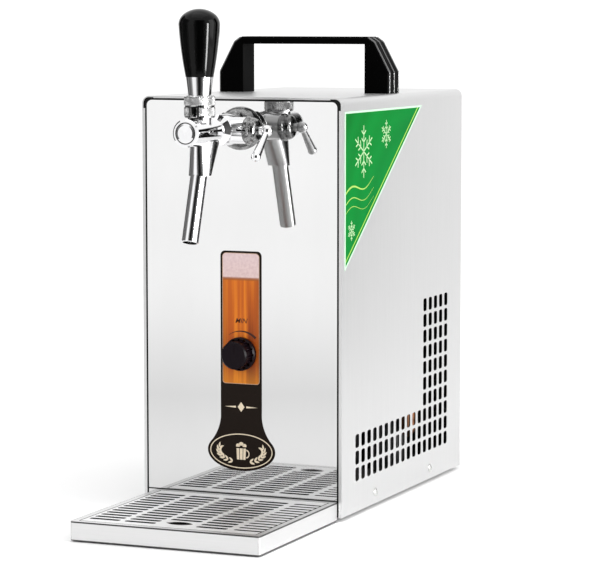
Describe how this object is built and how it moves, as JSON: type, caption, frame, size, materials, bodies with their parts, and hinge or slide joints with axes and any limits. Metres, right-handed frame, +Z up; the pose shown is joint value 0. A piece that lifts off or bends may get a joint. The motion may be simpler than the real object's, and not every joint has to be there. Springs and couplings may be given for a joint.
{
  "type": "over-counter beer cooler",
  "caption": "Compact steel over-counter beer cooler with a polished front, lever tap with a flow compensator, carry handle, thermostat knob, side vents and a drip tray.",
  "frame": {"origin": "centre of the footprint on the counter, under the box round case, tray and rear fitting", "axes": "+X to the right seen from the front, -Y to the front (tap and tray), +Z up"},
  "size_m": [0.1782, 0.455, 0.408],
  "materials": {
    "satin_steel": "satin-brushed stainless sheet",
    "mirror_steel": "mirror-polished stainless sheet",
    "tray_steel": "bright-polished stainless sheet",
    "black_trim": "black moulded edging",
    "black_gloss": "black moulded plastic, polished",
    "black_handle": "black moulded plastic, fine satin",
    "label_print": "printed plastic label",
    "sticker_print": "printed vinyl sticker",
    "tap_chrome": "polished chrome on brass",
    "bare_steel": "turned stainless steel",
    "rubber": "black rubber",
    "grey_plastic": "light grey acetal",
    "black_matte": "black moulded plastic, matte",
    "motor_metal": "black enamel",
    "zinc_plate": "zinc-plated pressed steel",
    "cast_aluminium": "cast and sheet aluminium",
    "copper": "bare copper tube",
    "beer_tube": "drawn stainless tube",
    "foam": "moulded insulating foam"
  },
  "bodies": {
    "case": {"base_pan": "satin_steel", "wrap_cover": "satin_steel", "rear_panel": "satin_steel", "front_panel": "mirror_steel", "front_trim": "black_trim", "carry_handle": "black_handle", "front_label": "label_print", "side_sticker": "sticker_print", "tap_body": "tap_chrome", "tap_front_cap": "tap_chrome", "spout_nozzle": "tap_chrome", "bonnet_nut": "tap_chrome", "compensator_cap": "tap_chrome", "coupling_nut": "tap_chrome", "rosette": "tap_chrome", "tap_shank": "tap_chrome", "shank_nut": "tap_chrome", "cover_screws": "bare_steel", "rear_screws": "bare_steel", "handle_screws": "bare_steel", "thermostat_nut": "bare_steel", "feet": "rubber", "compressor_grommets": "rubber", "front_cap_seal": "rubber", "inlet_fitting": "grey_plastic", "inlet_nut": "grey_plastic", "thermostat_body": "black_matte", "relay_box": "black_matte", "fan_shroud": "black_matte", "power_inlet": "black_matte", "compressor": "motor_metal", "fan_motor": "motor_metal", "compressor_plate": "zinc_plate", "cooling_core": "cast_aluminium", "condenser": "cast_aluminium", "filter_dryer": "copper", "suction_line": "copper", "discharge_line": "copper", "capillary_line": "copper", "beer_coil": "beer_tube", "beer_inlet_tube": "beer_tube", "beer_outlet_tube": "beer_tube", "insulation_jacket": "foam"},
    "tap_lever": {"lever_stem": "bare_steel", "lever_collar": "tap_chrome", "grip_ferrule": "tap_chrome", "lever_grip": "black_gloss"},
    "valve": {"valve_piston": "bare_steel", "valve_seal": "rubber"},
    "compensator_control": {"compensator_lever": "tap_chrome", "compensator_shaft": "bare_steel"},
    "compensator_plug": {"compensator_cone": "bare_steel"},
    "thermostat_control": {"thermostat_knob": "black_gloss", "thermostat_spindle": "bare_steel"},
    "fan": {"fan_rotor": "black_matte"},
    "tray": {"tray_body": "tray_steel", "tray_pads": "rubber"},
    "grille": {"tray_grille": "tray_steel"},
    "collet": {"inlet_collet": "grey_plastic"}
  },
  "joints": [
    {"name": "lever_tilt", "type": "hinge", "parent": "case", "child": "tap_lever", "pos_m": [0, -0.1495, 0.32], "axis": [1, 0, 0], "range_deg": [0, 30]},
    {"name": "valve_travel", "type": "slide", "parent": "case", "child": "valve", "axis": [0, 1, 0], "range_m": [0, 0.0036]},
    {"name": "compensator_turn", "type": "hinge", "parent": "case", "child": "compensator_control", "pos_m": [0.0384, -0.1075, 0.313], "axis": [1, 0, 0], "range_deg": [-45, 45]},
    {"name": "plug_travel", "type": "slide", "parent": "case", "child": "compensator_plug", "axis": [0, 1, 0], "range_m": [-0.0009, 0.0009]},
    {"name": "thermostat_turn", "type": "hinge", "parent": "case", "child": "thermostat_control", "pos_m": [0, -0.0725, 0.1314], "axis": [0, 1, 0], "range_deg": [0, 270]},
    {"name": "fan_spin", "type": "hinge", "parent": "case", "child": "fan", "pos_m": [0, 0.1435, 0.0662], "axis": [0, 1, 0], "continuous": true},
    {"name": "tray_pull", "type": "slide", "parent": "case", "child": "tray", "axis": [0, -1, 0], "range_m": [0, 0.12]},
    {"name": "grille_lift", "type": "slide", "parent": "tray", "child": "grille", "axis": [0, 0, 1], "range_m": [0, 0.05]},
    {"name": "collet_press", "type": "slide", "parent": "case", "child": "collet", "axis": [0, -1, 0], "range_m": [0, 0.0014], "stiffness_N_per_m": 400}
  ],
  "couplings": [
    {"joint": "valve_travel", "follows": "lever_tilt", "m_per_rad": 0.006685},
    {"joint": "plug_travel", "follows": "compensator_turn", "m_per_rad": -0.0010804}
  ]
}
